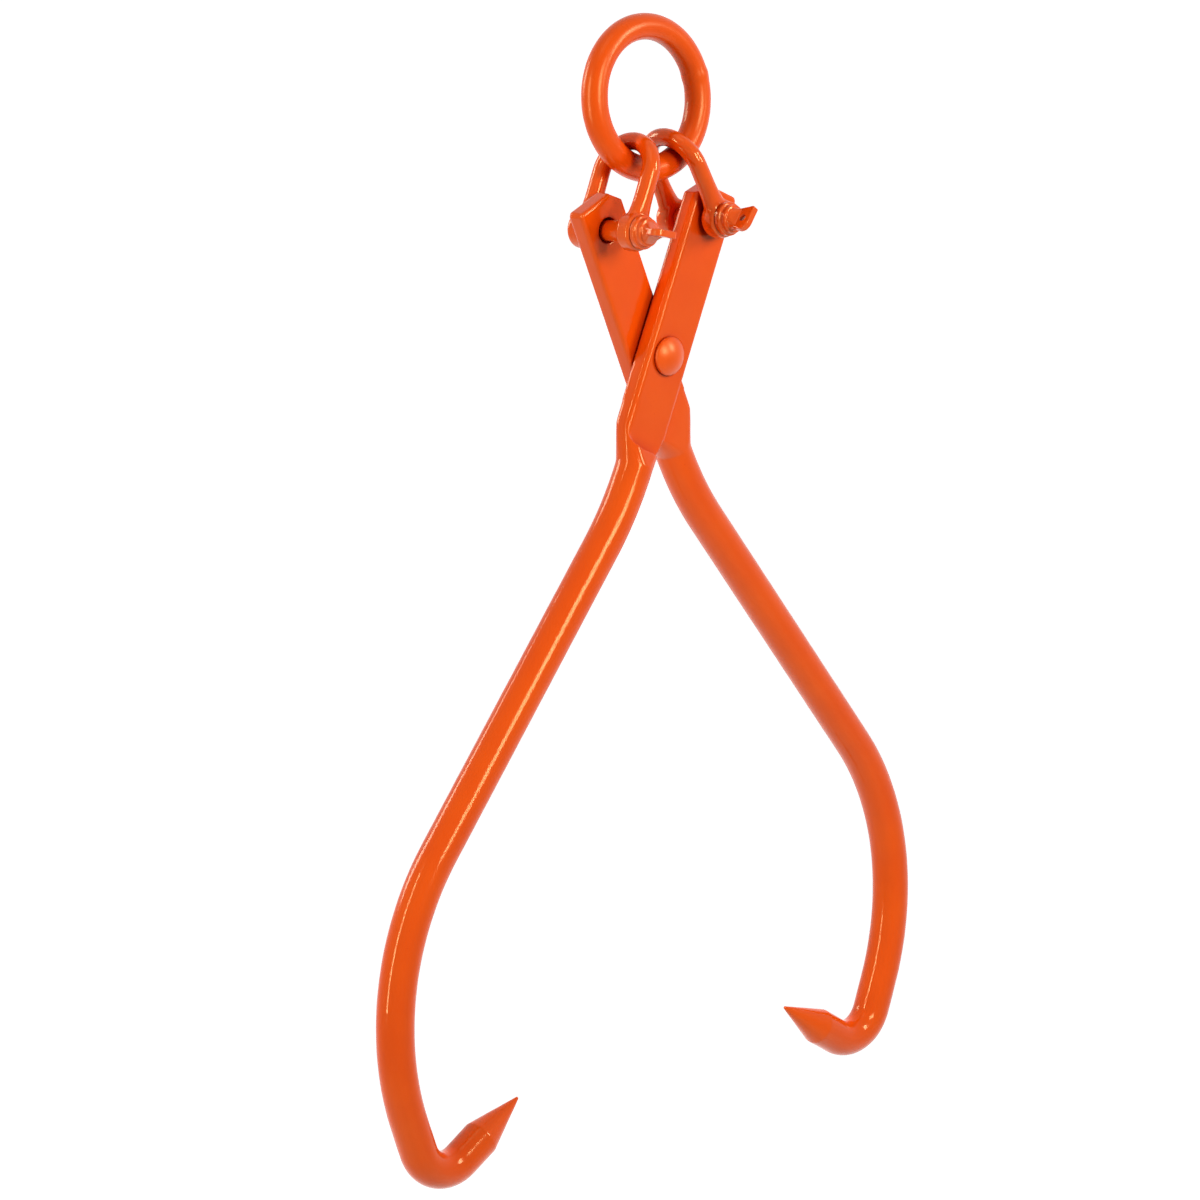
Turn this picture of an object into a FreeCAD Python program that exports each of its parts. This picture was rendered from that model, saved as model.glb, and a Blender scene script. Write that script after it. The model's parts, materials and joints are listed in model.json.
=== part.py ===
import FreeCAD, Part
import math
import os

import Sketcher
from FreeCAD import Placement, Rotation, Vector

# Lifting tongs: two crossed forged arms on one rivet, hung by two bow shackles from a lifting ring.
# +Z is up, +X runs across the jaws, the arms meet in the plane Y = 0 and the front faces -Y.
# The origin lies on the hanging line at the height of the ring's centre.

SIZES = {
    # Lifting ring, which hangs a little turned and leaning back
    "ring_rod": 15.4,
    "ring_inside": 65.8,
    "ring_tilt": 6.0,
    "ring_angle": -1.7,
    # Where each shackle's bow sits on the ring, from its lowest point
    "bow_seat_angle": 29.5,
    "bow_seat_gap": 0.3,
    "open_seat_gap": 0.55,
    # Bow shackles
    "bow_rod": 10.4,
    "jaw_width": 27.0,
    "shackle_length": 48.6,
    "ear_diameter": 22.0,
    "ear_cheek": 0.2,
    "ear_thickness": "=bow_rod + 2 * ear_cheek",
    "ear_neck_height": 14.5,
    "ear_neck_width": 17.0,
    "ear_round": 2.4,
    "ear_side_gap": 0.3,
    "left_shackle_tilt": 3.2,
    "right_shackle_tilt": 5.0,
    # Screw pins with a stepped collar and a flat thumb tab
    "pin_diameter": 12.0,
    "pin_fit": 0.1,
    "pin_end": 1.5,
    "pin_end_bevel": 1.2,
    "collar_diameter": 19.6,
    "collar_width": 3.3,
    "second_collar_diameter": 16.4,
    "second_collar_width": 3.3,
    "collar_bevel": 0.7,
    "collar_seat": 0.1,
    "pin_neck_diameter": 8.0,
    "pin_neck_length": 5.0,
    "tab_thickness": 4.0,
    "tab_length": 13.4,
    "tab_root_width": 10.0,
    "tab_width": 17.0,
    "tab_flare": 7.0,
    "tab_hole": 4.4,
    "tab_hole_reach": 8.0,
    "left_tab_angle": 103.0,
    "right_tab_angle": 38.0,
    # Flattened upper end of each arm, a little to the inside of the pivot
    "flat_angle": 24.1,
    "flat_width": 33.4,
    "flat_thickness": 11.6,
    "flat_offset": 1.4,
    "flat_reach": 101.6,
    "pin_from_end": 18.6,
    "pin_offset": 2.4,
    "pin_hole": 14.4,
    "flat_edge_round": 2.4,
    "inner_corner_bevel": 2.0,
    "outer_corner_bevel": 8.0,
    "arm_gap": 0.2,
    # Shoulder where the flat runs out into the round bar
    "shoulder_start": 46.0,
    "shoulder_end": 65.4,
    "step_reach": 56.5,
    "step_corner": 13.0,
    # Round bar of each arm: neck, run, belly, claw and point
    "bar_diameter": 22.0,
    "bar_set_back": 0.4,
    "bar_offset": -0.7,
    "neck_reach": 66.4,
    "neck_radius": 191.0,
    "neck_angle": 15.5,
    "run_length": 202.1,
    "belly_radius": 153.0,
    "belly_angle": 60.4,
    "claw_lead": 19.3,
    "claw_radius": 22.7,
    "claw_angle": 99.8,
    "claw_stub": 18.4,
    "point_length": 34.6,
    "point_tip": 1.6,
    # Pivot rivet with a domed head at both ends
    "rivet_diameter": 13.0,
    "rivet_fit": 0.1,
    "rivet_head": 22.4,
    "rivet_head_height": 6.0,
    "rivet_head_edge": 1.8,
    "rivet_head_gap": 0.1,
    # How far cutting tools run past what they cut
    "overrun": 4.0,
}
# Shares chosen by hand: the ear's width at which neck and legs start, the paddle's width that its end
# corners take, the step's corner that its bevel keeps, the bar's quarter turns that the flat's faces take,
# and how far the middle of a quarter round lies from the corner, of its radius
EAR_FOOT_SHARE = 0.25
TAB_CORNER_SHARE = 0.25
STEP_ACROSS_SHARE = 0.5
STEP_UP_SHARE = 0.25
BAR_ARC_SHARES = (0.62, 0.24)
ROUND_MIDDLE_SHARE = 1 - math.sqrt(0.5)
# Part of a gap within which an edge counts as lying in a face
LEVEL_SHARE = 0.1

doc = FreeCAD.newDocument("lifting_tongs")
sheet = doc.addObject("Spreadsheet::Sheet", "sizes")
for row, (alias, value) in enumerate(SIZES.items(), start=1):
    sheet.set(f"A{row}", alias)
    sheet.set(f"B{row}", str(value))
    sheet.setAlias(f"B{row}", alias)
doc.recompute()


def size(alias):
    return float(sheet.get(alias))


def number(expression):
    value = sheet.evalExpression(expression)
    return float(getattr(value, "Value", value))


def add_body(label):
    body = doc.addObject("PartDesign::Body", label)
    body.Label = label
    return body


def add_sketch(body, name, role, offset=("0", "0", "0")):
    """A sketch on one of the body's origin planes, moved along the sketch's own axes."""
    sketch = body.newObject("Sketcher::SketchObject", name)
    plane = next(item for item in body.Origin.OriginFeatures if item.Role == role)
    sketch.AttachmentSupport = [(plane, "")]
    sketch.MapMode = "FlatFace"
    for axis, expression in zip("xyz", offset):
        if expression != "0":
            sketch.setExpression(f"AttachmentOffset.Base.{axis}", expression)
    return sketch


def bind(sketch, constraint, expression):
    """Adds a dimension whose value follows an expression of the sheet."""
    index = sketch.addConstraint(constraint)
    sketch.setExpression(f"Constraints[{index}]", expression)


def place_point(sketch, geometry, end, across, up):
    origin_point = (-1, 1)
    bind(sketch, Sketcher.Constraint("DistanceX", *origin_point, geometry, end, number(across)), across)
    bind(sketch, Sketcher.Constraint("DistanceY", *origin_point, geometry, end, number(up)), up)


def add_polygon(sketch, corners):
    """A closed outline of straight edges through corners given as pairs of expressions."""
    points = [Vector(number(across), number(up), 0) for across, up in corners]
    count = len(points)
    lines = [sketch.addGeometry(Part.LineSegment(points[i], points[(i + 1) % count])) for i in range(count)]
    for i in range(count):
        sketch.addConstraint(Sketcher.Constraint("Coincident", lines[i], 2, lines[(i + 1) % count], 1))
    for line, (across, up) in zip(lines, corners):
        place_point(sketch, line, 1, across, up)
    return lines


def add_circle(sketch, diameter, across="0", up="0"):
    centre = Vector(number(across), number(up), 0)
    circle = sketch.addGeometry(Part.Circle(centre, Vector(0, 0, 1), number(diameter) / 2))
    place_point(sketch, circle, 3, across, up)
    bind(sketch, Sketcher.Constraint("Diameter", circle, number(diameter)), diameter)
    return circle


def add_ellipse(sketch, across, up):
    """An ellipse round the sketch's origin, wider across than up."""
    wide = Vector(number(across) / 2, 0, 0)
    ellipse = sketch.addGeometry(Part.Ellipse(wide, Vector(0, number(up) / 2, 0), Vector(0, 0, 0)))
    sketch.exposeInternalGeometry(ellipse)
    major, minor = ellipse + 1, ellipse + 2
    place_point(sketch, ellipse, 3, "0", "0")
    sketch.addConstraint(Sketcher.Constraint("Horizontal", major))
    bind(sketch, Sketcher.Constraint("Distance", major, number(across)), across)
    bind(sketch, Sketcher.Constraint("Distance", minor, number(up)), up)
    return ellipse


def add_pad(body, name, sketch, length, reverse=False):
    pad = body.newObject("PartDesign::Pad", name)
    pad.Profile = sketch
    pad.setExpression("Length", length)
    pad.Reversed = reverse
    doc.recompute()
    return pad


def add_pocket(body, name, sketch, length, reverse=False, both_ways=False):
    """A cut; the volume before and after shows that it met the solid."""
    before = body.Shape.Volume
    pocket = body.newObject("PartDesign::Pocket", name)
    pocket.Profile = sketch
    pocket.setExpression("Length", length)
    pocket.Reversed = reverse
    pocket.Midplane = both_ways
    doc.recompute()
    if not body.Shape.Volume < before:
        raise RuntimeError(f"{body.Label}: {name} cuts nothing")
    return pocket


def add_revolution(body, name, sketch, axis):
    turned = body.newObject("PartDesign::Revolution", name)
    turned.Profile = sketch
    turned.ReferenceAxis = (sketch, [axis])
    turned.Angle = 360
    doc.recompute()
    return turned


def add_fillet(body, name, base, radius, chosen):
    """Rounds the edges of a feature that a test on the edge picks out."""
    names = [f"Edge{i}" for i, edge in enumerate(base.Shape.Edges, start=1) if chosen(edge)]
    rounded = body.newObject("PartDesign::Fillet", name)
    rounded.Base = (base, names)
    rounded.setExpression("Radius", radius)
    doc.recompute()
    return rounded


def heading_vector(heading):
    """Heading in degrees from straight down, positive to the outside of the arm at -X."""
    turn = math.radians(heading)
    return Vector(-math.sin(turn), -math.cos(turn), 0)


def walk_path(sketch, start, legs):
    """Tangent runs and bends from a start point, first straight down.

    A leg is one length, or a radius, a turn and the side the path bends to: -1 to the outside, 1 back in.
    Returns the end of the path and its heading.
    """
    here = Vector(number(start[0]), number(start[1]), 0)
    heading = 0.0
    last = None
    for leg in legs:
        if len(leg) == 1:
            there = here + heading_vector(heading) * number(leg[0])
            piece = sketch.addGeometry(Part.LineSegment(here, there))
            entry, leave = 1, 2
            bind(sketch, Sketcher.Constraint("Distance", piece, number(leg[0])), leg[0])
        else:
            radius, turn, side = leg
            sweep = math.radians(number(turn))
            forward = heading_vector(heading)
            to_centre = Vector(-forward.y, forward.x, 0) * (side * number(radius))
            centre = here + to_centre
            turned = Rotation(Vector(0, 0, 1), side * number(turn))
            there = centre + turned.multVec(here - centre)
            first, second = (here, there) if side > 0 else (there, here)
            circle = Part.Circle(centre, Vector(0, 0, 1), number(radius))
            begin = math.atan2(first.y - centre.y, first.x - centre.x)
            piece = sketch.addGeometry(Part.ArcOfCircle(circle, begin, begin + sweep))
            entry, leave = (1, 2) if side > 0 else (2, 1)
            bind(sketch, Sketcher.Constraint("Radius", piece, number(radius)), radius)
            bind(sketch, Sketcher.Constraint("Angle", piece, sweep), turn)
            heading -= side * number(turn)
        if last is None:
            place_point(sketch, piece, entry, *start)
            sketch.addConstraint(Sketcher.Constraint("Vertical", piece))
        else:
            sketch.addConstraint(Sketcher.Constraint("Tangent", *last, piece, entry))
        last = (piece, leave)
        here = there
    return here, heading


def add_pipe(body, name, profile, spine):
    pipe = body.newObject("PartDesign::AdditivePipe", name)
    pipe.Profile = profile
    pipe.Spine = (spine, [])
    doc.recompute()
    return pipe


def add_loop(sketch, corners, middles):
    """A closed loop of eight edges: straight where no middle is given, else an arc through that middle."""
    points = [Vector(number(across), number(up), 0) for across, up in corners]
    count = len(points)
    edges = []
    for i in range(count):
        first, second = points[i], points[(i + 1) % count]
        if middles[i] is None:
            edges.append(sketch.addGeometry(Part.LineSegment(first, second)))
        else:
            middle = Vector(number(middles[i][0]), number(middles[i][1]), 0)
            edges.append(sketch.addGeometry(Part.Arc(first, middle, second)))
    for i in range(count):
        following = (i + 1) % count
        sketch.addConstraint(Sketcher.Constraint("Coincident", edges[i], 2, edges[following], 1))
        place_point(sketch, edges[i], 1, *corners[i])
    return edges


def build_arm(label):
    """One arm in its own axes: pivot at the origin, flat upright, outside at -X, mating face to +Y."""
    body = add_body(label)
    bar_depth = "(sizes.arm_gap / 2 + sizes.bar_set_back + sizes.bar_diameter / 2)"
    outer_face = "sizes.arm_gap / 2 + sizes.flat_thickness"
    left = "(sizes.flat_offset - sizes.flat_width / 2)"
    right = "(sizes.flat_offset + sizes.flat_width / 2)"
    front = f"(-({outer_face}))"
    back = "(-sizes.arm_gap / 2)"
    rounding = "sizes.flat_edge_round"
    inset = f"{rounding} * {ROUND_MIDDLE_SHARE}"

    # Flat: a bar of rounded oblong section from the shoulder up to the square end
    section = add_sketch(body, label + "_flat_section", "XY_Plane", ("0", "0", "-sizes.shoulder_start"))
    add_loop(section, [
        (f"{left} + {rounding}", front), (f"{right} - {rounding}", front),
        (right, f"{front} + {rounding}"), (right, f"{back} - {rounding}"),
        (f"{right} - {rounding}", back), (f"{left} + {rounding}", back),
        (left, f"{back} - {rounding}"), (left, f"{front} + {rounding}"),
    ], [None, (f"{right} - {inset}", f"{front} + {inset}"), None, (f"{right} - {inset}", f"{back} - {inset}"),
        None, (f"{left} + {inset}", f"{back} - {inset}"), None, (f"{left} + {inset}", f"{front} + {inset}")])
    add_pad(body, label + "_flat", section, "sizes.flat_reach + sizes.shoulder_start")

    # Shoulder: the flat's section runs over into the bar's circle
    round_end = add_sketch(body, label + "_round_section", "XY_Plane", ("0", "0", "-sizes.shoulder_end"))
    wide, narrow = BAR_ARC_SHARES
    turns = [-90 - 90 * wide, -90 + 90 * wide, -90 * narrow, 90 * narrow,
             90 - 90 * wide, 90 + 90 * wide, 180 - 90 * narrow, 180 + 90 * narrow]
    spots = [(f"sizes.bar_offset + sizes.bar_diameter / 2 * cos({turn} deg)",
              f"sizes.bar_diameter / 2 * sin({turn} deg) - {bar_depth}") for turn in turns]
    halves = []
    for i, turn in enumerate(turns):
        following = turns[(i + 1) % len(turns)]
        halves.append((turn + following + (360 if following < turn else 0)) / 2)
    arcs = [(f"sizes.bar_offset + sizes.bar_diameter / 2 * cos({turn} deg)",
             f"sizes.bar_diameter / 2 * sin({turn} deg) - {bar_depth}") for turn in halves]
    add_loop(round_end, spots, arcs)
    shoulder = body.newObject("PartDesign::AdditiveLoft", label + "_shoulder")
    shoulder.Profile = section
    shoulder.Sections = [round_end]
    shoulder.Ruled = True
    doc.recompute()

    # Round bar
    route = add_sketch(body, label + "_bar_route", "XZ_Plane", ("0", "0", bar_depth))
    end, heading = walk_path(route, ("sizes.bar_offset", "-sizes.shoulder_end"), [
        ("sizes.neck_reach - sizes.shoulder_end",),
        ("sizes.neck_radius", "sizes.neck_angle", -1),
        ("sizes.run_length",),
        ("sizes.belly_radius", "sizes.belly_angle", 1),
        ("sizes.claw_lead",),
        ("sizes.claw_radius", "sizes.claw_angle", 1),
        ("sizes.claw_stub",),
    ])
    bar_section = add_sketch(body, label + "_bar_section", "XY_Plane",
                             ("sizes.bar_offset", f"-{bar_depth}", "-sizes.shoulder_end"))
    add_circle(bar_section, "sizes.bar_diameter")
    add_pipe(body, label + "_bar", bar_section, route)

    # Point: a cone turned about the last stretch of the bar
    cone = add_sketch(body, label + "_point_outline", "XZ_Plane", ("0", "0", bar_depth))
    forward = heading_vector(heading)
    side = Vector(-forward.y, forward.x, 0)
    tip = end + forward * size("point_length")
    ring = [end, tip, tip + side * (size("point_tip") / 2), end + side * (size("bar_diameter") / 2)]
    edges = [cone.addGeometry(Part.LineSegment(ring[i], ring[(i + 1) % 4])) for i in range(4)]
    axis = cone.addGeometry(Part.LineSegment(end, tip), True)
    for i in range(4):
        cone.addConstraint(Sketcher.Constraint("Coincident", edges[i], 2, edges[(i + 1) % 4], 1))
    cone.addConstraint(Sketcher.Constraint("Coincident", axis, 1, edges[0], 1))
    cone.addConstraint(Sketcher.Constraint("Coincident", axis, 2, edges[0], 2))
    cone.addConstraint(Sketcher.Constraint("Perpendicular", edges[0], edges[1]))
    cone.addConstraint(Sketcher.Constraint("Perpendicular", edges[0], edges[3]))
    bind(cone, Sketcher.Constraint("Distance", edges[0], size("point_length")), "sizes.point_length")
    bind(cone, Sketcher.Constraint("Distance", edges[1], size("point_tip") / 2), "sizes.point_tip / 2")
    bind(cone, Sketcher.Constraint("Distance", edges[3], size("bar_diameter") / 2), "sizes.bar_diameter / 2")
    cone.addConstraint(Sketcher.Constraint("Block", edges[0]))
    add_revolution(body, label + "_point", cone, "Axis0")

    # The die's imprint leaves a step in front, bevelled at its outer corner
    step = add_sketch(body, label + "_step", "XZ_Plane", ("0", "0", outer_face))
    low = "-sizes.step_reach"
    add_polygon(step, [
        (f"{left} - sizes.overrun", "-sizes.shoulder_start + sizes.overrun"),
        (f"{left} - sizes.overrun", f"{low} + sizes.step_corner"),
        (left, f"{low} + sizes.step_corner"),
        (f"{left} + sizes.step_corner * {STEP_ACROSS_SHARE}", f"{low} + sizes.step_corner * {STEP_UP_SHARE}"),
        (f"{left} + sizes.step_corner", low),
        (f"{right} + sizes.overrun", low),
        (f"{right} + sizes.overrun", "-sizes.shoulder_start + sizes.overrun"),
    ])
    add_pocket(body, label + "_imprint", step, "sizes.bar_diameter", reverse=True)

    # Bevelled corners of the square end
    ends = add_sketch(body, label + "_end_corners", "XZ_Plane")
    top = "sizes.flat_reach"
    for edge, inward, outward, bevel in ((left, "+", "-", "sizes.outer_corner_bevel"),
                                         (right, "-", "+", "sizes.inner_corner_bevel")):
        add_polygon(ends, [
            (edge, f"{top} - {bevel}"),
            (f"{edge} {inward} {bevel}", top),
            (f"{edge} {inward} {bevel}", f"{top} + sizes.overrun"),
            (f"{edge} {outward} sizes.overrun", f"{top} + sizes.overrun"),
            (f"{edge} {outward} sizes.overrun", f"{top} - {bevel}"),
        ])
    through = "2 * (sizes.flat_thickness + sizes.arm_gap + sizes.overrun)"
    add_pocket(body, label + "_cornered", ends, through, both_ways=True)

    # Holes for the rivet and for the shackle's pin
    holes = add_sketch(body, label + "_holes", "XZ_Plane")
    add_circle(holes, "sizes.rivet_diameter + 2 * sizes.rivet_fit")
    add_circle(holes, "sizes.pin_hole", "sizes.pin_offset", "sizes.flat_reach - sizes.pin_from_end")
    add_pocket(body, label + "_bored", holes, through, both_ways=True)
    return body


def build_shackle(label):
    """One bow shackle in its own axes: pin along Y through the origin, crown up."""
    body = add_body(label)
    inner = "sizes.jaw_width / 2"
    leg = "(sizes.jaw_width + sizes.ear_thickness) / 2"
    foot = f"sizes.ear_diameter * {EAR_FOOT_SHARE}"

    for side, name in ((1, "front"), (-1, "back")):
        offset = inner if side > 0 else f"-{inner}"
        ear = add_sketch(body, f"{label}_{name}_ear_outline", "XZ_Plane", ("0", "0", offset))
        add_circle(ear, "sizes.ear_diameter")
        disc = add_pad(body, f"{label}_{name}_ear", ear, "sizes.ear_thickness", reverse=side < 0)
        faces = [-side * number(inner), -side * (number(inner) + size("ear_thickness"))]

        def on_ear_rim(edge):
            box = edge.BoundBox
            near = size("ear_side_gap") * LEVEL_SHARE
            return any(abs(box.YMin - y) + abs(box.YMax - y) < near for y in faces)

        add_fillet(body, f"{label}_{name}_ear_rounding", disc, "sizes.ear_round", on_ear_rim)

        # Neck: the ear is drawn in to the round of the leg
        base = add_sketch(body, f"{label}_{name}_neck_base", "XY_Plane", ("0", f"{-side} * {leg}", foot))
        add_ellipse(base, "sizes.ear_neck_width", "sizes.bow_rod")
        end = add_sketch(body, f"{label}_{name}_neck_end", "XY_Plane",
                         ("0", f"{-side} * {leg}", "sizes.ear_neck_height"))
        add_circle(end, "sizes.bow_rod")
        neck = body.newObject("PartDesign::AdditiveLoft", f"{label}_{name}_neck")
        neck.Profile = base
        neck.Sections = [end]
        doc.recompute()

    # Bow: straight legs and a half-round crown
    route = add_sketch(body, label + "_bow_route", "YZ_Plane")
    crown_radius = number(leg)
    crown_height = size("shackle_length") + size("bow_rod") / 2 - crown_radius
    leg_foot = size("ear_neck_height")
    top = f"sizes.shackle_length + sizes.bow_rod / 2 - {leg}"
    front_leg = route.addGeometry(Part.LineSegment(Vector(-crown_radius, leg_foot, 0),
                                                   Vector(-crown_radius, crown_height, 0)))
    circle = Part.Circle(Vector(0, crown_height, 0), Vector(0, 0, 1), crown_radius)
    crown = route.addGeometry(Part.ArcOfCircle(circle, 0, math.pi))
    back_leg = route.addGeometry(Part.LineSegment(Vector(crown_radius, crown_height, 0),
                                                  Vector(crown_radius, leg_foot, 0)))
    place_point(route, front_leg, 1, f"-{leg}", "sizes.ear_neck_height")
    place_point(route, front_leg, 2, f"-{leg}", top)
    place_point(route, back_leg, 1, leg, top)
    place_point(route, back_leg, 2, leg, "sizes.ear_neck_height")
    route.addConstraint(Sketcher.Constraint("Tangent", front_leg, 2, crown, 2))
    route.addConstraint(Sketcher.Constraint("Coincident", crown, 1, back_leg, 1))
    section = add_sketch(body, label + "_bow_section", "XY_Plane",
                         ("0", f"-{leg}", "sizes.ear_neck_height"))
    add_circle(section, "sizes.bow_rod")
    add_pipe(body, label + "_bow", section, route)

    hole = add_sketch(body, label + "_pin_hole", "XZ_Plane")
    add_circle(hole, "sizes.pin_diameter + 2 * sizes.pin_fit")
    through = "sizes.jaw_width + 2 * (sizes.ear_thickness + sizes.overrun)"
    add_pocket(body, label + "_bored", hole, through, both_ways=True)
    return body


def build_pin(label):
    """One screw pin in its own axes: axis along Y, collar and thumb tab to the front, tab upright."""
    body = add_body(label)
    seat = "sizes.jaw_width / 2 + sizes.ear_thickness + sizes.collar_seat"
    back_end = "sizes.jaw_width / 2 + sizes.ear_thickness + sizes.pin_end"
    first = f"{seat} + sizes.collar_width"
    second = f"{first} + sizes.second_collar_width"
    neck = f"{second} + sizes.pin_neck_length"
    shaft = "sizes.pin_diameter / 2"

    # Half section beside the axis: length along Y, radius along Z
    outline = add_sketch(body, label + "_outline", "YZ_Plane")
    add_polygon(outline, [
        (back_end, "0"),
        (back_end, f"{shaft} - sizes.pin_end_bevel"),
        (f"{back_end} - sizes.pin_end_bevel", shaft),
        (f"-({seat})", shaft),
        (f"-({seat})", "sizes.collar_diameter / 2"),
        (f"-({first}) + sizes.collar_bevel", "sizes.collar_diameter / 2"),
        (f"-({first})", "sizes.collar_diameter / 2 - sizes.collar_bevel"),
        (f"-({first})", "sizes.second_collar_diameter / 2"),
        (f"-({second}) + sizes.collar_bevel", "sizes.second_collar_diameter / 2"),
        (f"-({second})", "sizes.second_collar_diameter / 2 - sizes.collar_bevel"),
        (f"-({neck})", "sizes.pin_neck_diameter / 2"),
        (f"-({neck})", "0"),
    ])
    add_revolution(body, label + "_turned", outline, "H_Axis")

    # Thumb tab: a flat paddle that widens from the neck, with a hole for a securing wire
    tab = add_sketch(body, label + "_tab_outline", "YZ_Plane")
    far = f"{second} + sizes.tab_length"
    wide = f"{second} + sizes.tab_flare"
    corner = f"sizes.tab_width * {TAB_CORNER_SHARE}"
    add_polygon(tab, [
        (f"-({second})", "-sizes.tab_root_width / 2"),
        (f"-({second})", "sizes.tab_root_width / 2"),
        (f"-({wide})", "sizes.tab_width / 2"),
        (f"-({far}) + {corner}", "sizes.tab_width / 2"),
        (f"-({far})", f"sizes.tab_width / 2 - {corner}"),
        (f"-({far})", f"-sizes.tab_width / 2 + {corner}"),
        (f"-({far}) + {corner}", "-sizes.tab_width / 2"),
        (f"-({wide})", "-sizes.tab_width / 2"),
    ])
    paddle = add_pad(body, label + "_tab", tab, "sizes.tab_thickness")
    paddle.Midplane = True
    doc.recompute()
    hole = add_sketch(body, label + "_tab_hole", "YZ_Plane")
    add_circle(hole, "sizes.tab_hole", f"-({second} + sizes.tab_hole_reach)", "0")
    add_pocket(body, label + "_tab_bored", hole, "sizes.tab_thickness + 2 * sizes.overrun", both_ways=True)
    return body


def build_rivet(label):
    """The pivot rivet in its own axes: axis along Y, a dome on each end."""
    body = add_body(label)
    grip = "sizes.arm_gap / 2 + sizes.flat_thickness"
    outline = add_sketch(body, label + "_outline", "YZ_Plane")
    radius = "sizes.rivet_head / 2"
    shank = "sizes.rivet_diameter / 2"
    front = f"{grip} + sizes.rivet_head_gap"
    half = [
        (f"-({front} + sizes.rivet_head_height)", "0"),
        (f"-({front} + sizes.rivet_head_edge)", radius),
        (f"-({front})", radius),
        (f"-({front})", shank),
        (grip, shank),
        (grip, radius),
        (f"{grip} + sizes.rivet_head_edge", radius),
        (f"{grip} + sizes.rivet_head_height", "0"),
    ]
    points = [Vector(number(along), number(out), 0) for along, out in half]
    lines = [outline.addGeometry(Part.LineSegment(a, b)) for a, b in zip(points[1:], points[2:-1])]
    axis = outline.addGeometry(Part.LineSegment(points[-1], points[0]))
    for line, following in zip(lines, lines[1:]):
        outline.addConstraint(Sketcher.Constraint("Coincident", line, 2, following, 1))
    for line, corner in zip(lines, half[1:]):
        place_point(outline, line, 1, *corner)
    place_point(outline, lines[-1], 2, *half[-2])
    place_point(outline, axis, 1, *half[-1])
    place_point(outline, axis, 2, *half[0])
    rise = size("rivet_head_height") - size("rivet_head_edge")
    ball = (number(radius) ** 2 + rise ** 2) / (2 * rise)
    spread = math.asin(number(radius) / ball)
    for centre, middle, start, finish in (
            (points[0].x + ball, math.pi, (lines[0], 1), (axis, 2)),
            (points[-1].x - ball, 0.0, (axis, 1), (lines[-1], 2))):
        circle = Part.Circle(Vector(centre, 0, 0), Vector(0, 0, 1), ball)
        low, high = (middle - spread, middle) if middle else (middle, middle + spread)
        dome = outline.addGeometry(Part.ArcOfCircle(circle, low, high))
        outline.addConstraint(Sketcher.Constraint("Coincident", dome, 1, *start))
        outline.addConstraint(Sketcher.Constraint("Coincident", dome, 2, *finish))
        outline.addConstraint(Sketcher.Constraint("PointOnObject", dome, 3, -1))
    add_revolution(body, label + "_turned", outline, "H_Axis")
    return body


# Places of the pieces, worked out from the sizes
ring_radius = (size("ring_inside") + size("ring_rod")) / 2
lean = math.radians(size("flat_angle"))
seat_angle = math.radians(size("bow_seat_angle"))
ring_angle = math.radians(size("ring_angle"))
crown_reach = size("shackle_length") + size("bow_rod") / 2
outer_face = size("arm_gap") / 2 + size("flat_thickness")
# Each arm lies near the ear on its own side, with room for the tilt of the shackle: below the pin the back
# ear leans to the back arm, and above it the front leg leans to the front arm's end
tilts = {"left": math.radians(size("left_shackle_tilt")), "right": math.radians(size("right_shackle_tilt"))}
lean_room = {"left": size("ear_diameter") / 2 * math.sin(tilts["left"]),
             "right": size("pin_from_end") * math.sin(tilts["right"])}
sides = {name: size("jaw_width") / 2 - outer_face - size("ear_side_gap") - lean_room[name] for name in tilts}
centre_reach = crown_reach - (size("jaw_width") + size("ear_thickness")) / 2
crown_places = {"left": centre_reach * math.sin(tilts["left"]) - sides["left"],
                "right": centre_reach * math.sin(tilts["right"]) + sides["right"]}
# The ring's rod passes midway between the crowns' centres, a little off both, and so sits lower in them
ring_side = (crown_places["left"] + crown_places["right"]) / 2
rod_slack = (size("jaw_width") + size("ear_thickness") - size("bow_rod") - size("ring_rod")) / 2
rod_off = crown_places["right"] - ring_side + ring_radius * math.sin(seat_angle) * math.tan(abs(ring_angle))
seat_drop = rod_slack - math.sqrt(rod_slack ** 2 - rod_off ** 2)
seat_radius = (size("ring_inside") - size("bow_rod")) / 2 - size("open_seat_gap") - seat_drop
bow_across = seat_radius * math.sin(seat_angle)
bow_height = -seat_radius * math.cos(seat_angle)
pin_reach = size("flat_reach") - size("pin_from_end")
pin_across = pin_reach * math.sin(lean) + size("pin_offset") * math.cos(lean)
swings = {name: math.asin((pin_across - bow_across) / (crown_reach * math.cos(tilts[name]))) for name in tilts}
pin_height = bow_height - crown_reach * math.cos(tilts["left"]) * math.cos(swings["left"])
pivot_height = pin_height - pin_reach * math.cos(lean) + size("pin_offset") * math.sin(lean)
ring_shift = (size("open_seat_gap") - size("bow_seat_gap")) / math.sin(seat_angle)

AXIS_X = Vector(1, 0, 0)
AXIS_Y = Vector(0, 1, 0)
AXIS_Z = Vector(0, 0, 1)
pivot = Vector(0, 0, pivot_height)

# The ring leans back about the height at which the bows sit on it
ring = doc.addObject("Part::Torus", "lifting_ring")
ring.Label = "lifting_ring"
ring.setExpression("Radius1", "(sizes.ring_inside + sizes.ring_rod) / 2")
ring.setExpression("Radius2", "sizes.ring_rod / 2")
seat_depth = ring_radius * math.cos(seat_angle)
ring_pose = Rotation(AXIS_Z, size("ring_angle")) * Rotation(AXIS_X, -size("ring_tilt"))
ring_seat = Vector(ring_shift, ring_side, -seat_depth)
ring_centre = ring_seat + ring_pose.multVec(Vector(0, 0, seat_depth))
ring.Placement = Placement(ring_centre, ring_pose * Rotation(AXIS_X, 90))

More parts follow.
